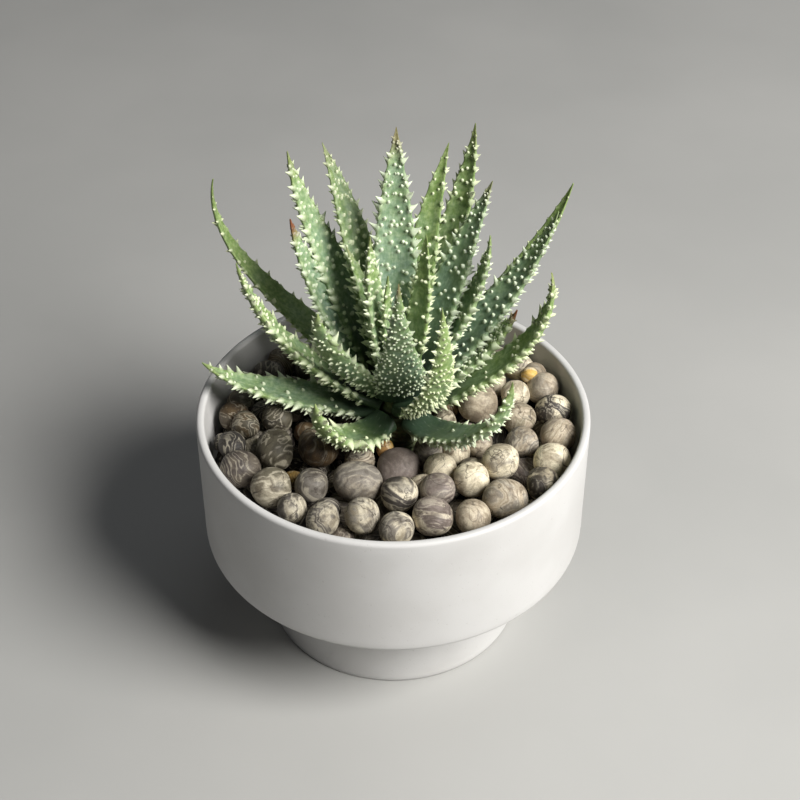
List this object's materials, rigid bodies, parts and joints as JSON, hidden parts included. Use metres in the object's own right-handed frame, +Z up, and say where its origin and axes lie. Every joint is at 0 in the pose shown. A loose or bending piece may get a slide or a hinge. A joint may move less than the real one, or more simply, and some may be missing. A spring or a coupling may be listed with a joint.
{
  "type": "potted aloe",
  "caption": "Short-stemmed spider aloe with toothed fleshy leaves, growing through round pebbles in a footed ceramic bowl.",
  "frame": {"origin": "on the bowl's axis, in the plane that the foot ring stands on", "axes": "+Z up along the bowl's axis, +X to the rosette's right side, +Y to its back, so -Y is its front"},
  "size_m": [0.14, 0.14, 0.1842],
  "materials": {
    "ceramic": "matte, pale grey, fired and unglazed",
    "potting_mix": "dark, damp, crumbly",
    "pebble": "matte, tumbled smooth, banded cream, tan and grey-brown",
    "leaf": "waxy bloom over blue-green skin, with cream teeth and bumps",
    "stem": "dry, fibrous"
  },
  "bodies": {
    "root": {"bowl": "ceramic", "stem_and_roots": "stem", "potting_mix": "potting_mix", "pebble_bed": "pebble", "leaf_01": "leaf", "leaf_02": "leaf", "leaf_03": "leaf", "leaf_04": "leaf", "leaf_05": "leaf", "leaf_06": "leaf", "leaf_07": "leaf", "leaf_08": "leaf", "leaf_09": "leaf", "leaf_10": "leaf", "leaf_11": "leaf", "leaf_12": "leaf", "leaf_13": "leaf", "leaf_14": "leaf", "leaf_15": "leaf", "leaf_16": "leaf", "leaf_17": "leaf", "leaf_18": "leaf", "leaf_19": "leaf", "leaf_20": "leaf", "leaf_21": "leaf", "leaf_22": "leaf", "leaf_23": "leaf", "leaf_24": "leaf", "offset_shoot": "leaf", "pebble_01": "pebble", "pebble_02": "pebble", "pebble_03": "pebble", "pebble_04": "pebble", "pebble_05": "pebble", "pebble_06": "pebble", "pebble_07": "pebble", "pebble_08": "pebble", "pebble_09": "pebble", "pebble_10": "pebble", "pebble_11": "pebble", "pebble_12": "pebble", "pebble_13": "pebble", "pebble_14": "pebble", "pebble_15": "pebble", "pebble_16": "pebble", "pebble_17": "pebble", "pebble_18": "pebble", "pebble_19": "pebble", "pebble_20": "pebble", "pebble_21": "pebble", "pebble_22": "pebble", "pebble_23": "pebble", "pebble_24": "pebble", "pebble_25": "pebble", "pebble_26": "pebble", "pebble_27": "pebble", "pebble_28": "pebble", "pebble_29": "pebble", "pebble_30": "pebble", "pebble_31": "pebble"}
  },
  "joints": []
}
